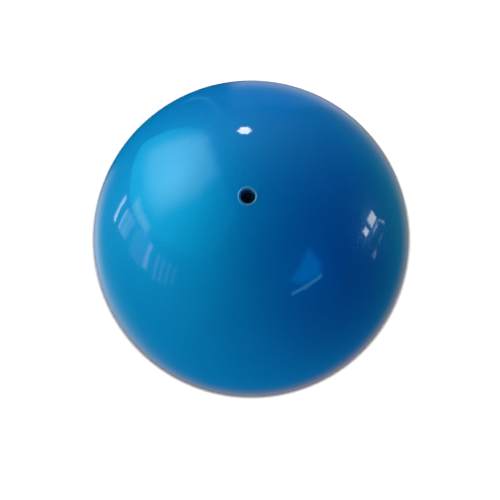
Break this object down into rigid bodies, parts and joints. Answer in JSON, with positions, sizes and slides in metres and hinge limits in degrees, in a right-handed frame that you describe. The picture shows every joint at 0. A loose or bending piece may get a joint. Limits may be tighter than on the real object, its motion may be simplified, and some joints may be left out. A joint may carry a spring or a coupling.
{
  "type": "inflatable gymnastics ball",
  "caption": "Smooth glossy inflatable hand ball for rhythmic gymnastics, with a round recessed air valve and a rubber stopper that pulls out of it.",
  "frame": {"origin": "centre of the ball", "axes": "+Z along the air valve's axis, out of its mouth, so the valve is on top and the ball rests on its lowest point"},
  "size_m": [0.185, 0.185, 0.1851],
  "materials": {
    "pearl_skin": "gloss",
    "valve_collar": "gloss",
    "plug_rubber": "matte"
  },
  "bodies": {
    "ball": {"ball_skin": "pearl_skin", "valve_seat": "valve_collar"},
    "plug": {"air_plug": "plug_rubber"}
  },
  "joints": [
    {"name": "plug_pull", "type": "slide", "parent": "ball", "child": "plug", "axis": [0, 0, 1], "range_m": [0, 0.023]}
  ]
}
